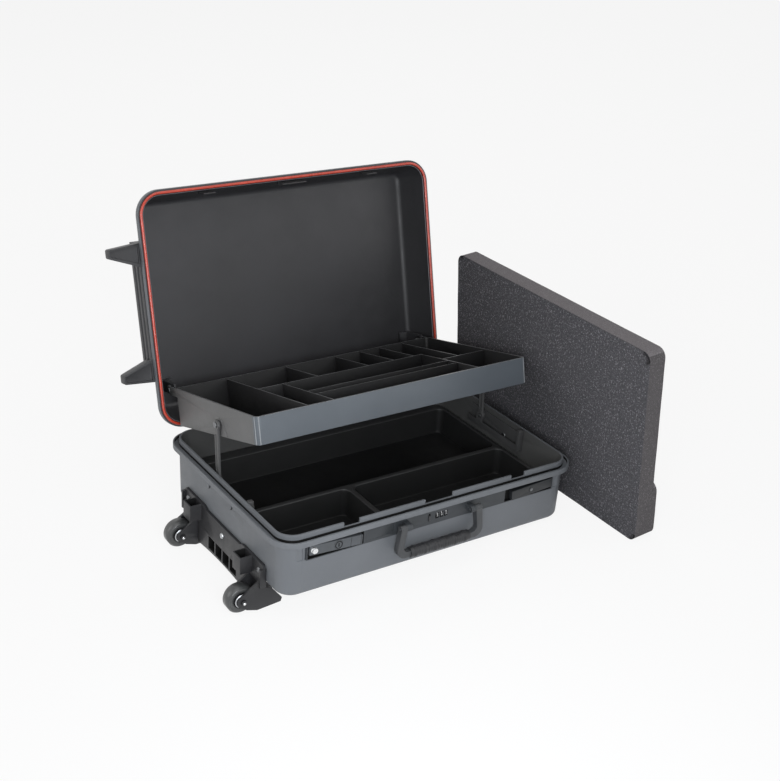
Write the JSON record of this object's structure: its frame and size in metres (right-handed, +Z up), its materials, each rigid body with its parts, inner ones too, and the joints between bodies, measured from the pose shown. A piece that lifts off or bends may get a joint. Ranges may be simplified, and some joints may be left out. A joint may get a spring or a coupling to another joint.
{
  "type": "rolling tool case",
  "caption": "Open moulded tool case on wheels with a compartment tray on swinging arms under the hinged lid, carry handle, locks and a loose foam slab.",
  "frame": {"origin": "middle of the flat underside of the base tub", "axes": "+X along the case away from the wheels, -Y towards the carry handle, +Z up out of the base"},
  "size_m": [0.611, 0.5928, 0.4806],
  "materials": {
    "shell": "fine leather grain",
    "black_plastic": "satin",
    "trim_plastic": "fine texture",
    "tray_plastic": "satin",
    "panel_plastic": "satin",
    "seal_rubber": "soft",
    "steel": "zinc plated",
    "chrome": "polished",
    "grip_rubber": "matte",
    "tyre": "matte",
    "foam": "open cell foam"
  },
  "bodies": {
    "case": {"base_shell": "shell", "base_insert": "black_plastic", "left_arm_channel": "trim_plastic", "right_arm_channel": "trim_plastic", "channel_rivets": "steel", "arm_foot_pins": "steel", "base_hinge_leaves": "steel", "hinge_pins": "steel", "wheel_truck": "trim_plastic", "truck_screws": "steel", "wheel_axles": "steel", "lock_strip": "trim_plastic", "blank_plate": "black_plastic", "right_latch_pivot": "steel", "dial_spindle": "steel", "lock_cover": "black_plastic", "handle_pins": "steel"},
    "lid": {"lid_shell": "shell", "lid_seal": "seal_rubber", "lid_strikers": "steel", "tray_link_brackets": "trim_plastic", "lid_stand": "trim_plastic", "lid_hinge_leaves": "steel"},
    "left_arm": {"left_arm": "trim_plastic"},
    "right_arm": {"right_arm": "trim_plastic"},
    "tray": {"tray_body": "tray_plastic", "tray_front_panel": "panel_plastic", "tray_long_dividers": "tray_plastic", "tray_cross_dividers": "tray_plastic", "tray_thin_dividers": "tray_plastic", "tray_pivot_pins": "steel"},
    "front_wheel": {"front_tyre": "tyre", "front_hub": "chrome"},
    "rear_wheel": {"rear_tyre": "tyre", "rear_hub": "chrome"},
    "handle": {"handle_bow": "trim_plastic", "handle_grip": "grip_rubber"},
    "left_latch": {"left_latch": "trim_plastic", "left_latch_rivet": "chrome"},
    "right_latch": {"right_latch": "trim_plastic"},
    "key": {"key_cylinder": "chrome"},
    "dial_1": {"dial_1": "black_plastic"},
    "dial_2": {"dial_2": "black_plastic"},
    "dial_3": {"dial_3": "black_plastic"},
    "slider": {"lock_slider": "trim_plastic"},
    "foam": {"foam_slab": "foam"}
  },
  "joints": [
    {"name": "lid_hinge", "type": "hinge", "parent": "case", "child": "lid", "pos_m": [0, 0.18, 0.0902], "axis": [1, 0, 0], "range_deg": [0, 104]},
    {"name": "left_arm_pivot", "type": "hinge", "parent": "case", "child": "left_arm", "pos_m": [-0.2307, 0.038, 0.08], "axis": [1, 0, 0], "range_deg": [0, 92]},
    {"name": "right_arm_pivot", "type": "hinge", "parent": "case", "child": "right_arm", "pos_m": [0.2307, 0.038, 0.08], "axis": [1, 0, 0], "range_deg": [0, 92]},
    {"name": "tray_pivot", "type": "hinge", "parent": "left_arm", "child": "tray", "pos_m": [-0.2307, 0.045, 0.164], "axis": [1, 0, 0], "range_deg": [-77.6, 0]},
    {"name": "front_wheel_spin", "type": "hinge", "parent": "case", "child": "front_wheel", "pos_m": [-0.267, -0.094, -0.0255], "axis": [0, 1, 0], "continuous": true},
    {"name": "rear_wheel_spin", "type": "hinge", "parent": "case", "child": "rear_wheel", "pos_m": [-0.267, 0.094, -0.0255], "axis": [0, 1, 0], "continuous": true},
    {"name": "handle_pivot", "type": "hinge", "parent": "case", "child": "handle", "pos_m": [0, -0.1785, 0.07], "axis": [-1, 0, 0], "range_deg": [0, 95]},
    {"name": "left_latch_pivot", "type": "hinge", "parent": "case", "child": "left_latch", "pos_m": [-0.1595, -0.1685, 0.0685], "axis": [0, -1, 0], "range_deg": [0, 3.5]},
    {"name": "right_latch_pivot", "type": "hinge", "parent": "case", "child": "right_latch", "pos_m": [0.165, -0.1685, 0.0685], "axis": [0, 1, 0], "range_deg": [0, 3.5]},
    {"name": "key_turn", "type": "hinge", "parent": "case", "child": "key", "pos_m": [-0.1595, -0.1685, 0.0685], "axis": [0, 1, 0], "range_deg": [0, 90]},
    {"name": "slider_travel", "type": "slide", "parent": "case", "child": "slider", "axis": [0, 0, 1], "range_m": [0, 0.003], "stiffness_N_per_m": 150},
    {"name": "foam_lift", "type": "slide", "parent": "case", "child": "foam", "axis": [-0.0924, 0, 0.9957], "range_m": [0, 0.35]},
    {"name": "dial_1_turn", "type": "hinge", "parent": "case", "child": "dial_1", "pos_m": [0.0005, -0.1643, 0.0685], "axis": [1, 0, 0], "continuous": true},
    {"name": "dial_2_turn", "type": "hinge", "parent": "case", "child": "dial_2", "pos_m": [0.008, -0.1643, 0.0685], "axis": [1, 0, 0], "continuous": true},
    {"name": "dial_3_turn", "type": "hinge", "parent": "case", "child": "dial_3", "pos_m": [0.0155, -0.1643, 0.0685], "axis": [1, 0, 0], "continuous": true}
  ],
  "couplings": [
    {"joint": "left_arm_pivot", "follows": "lid_hinge", "ratio": 0.88234},
    {"joint": "right_arm_pivot", "follows": "lid_hinge", "ratio": 0.88234},
    {"joint": "tray_pivot", "follows": "lid_hinge", "ratio": -0.74388}
  ]
}
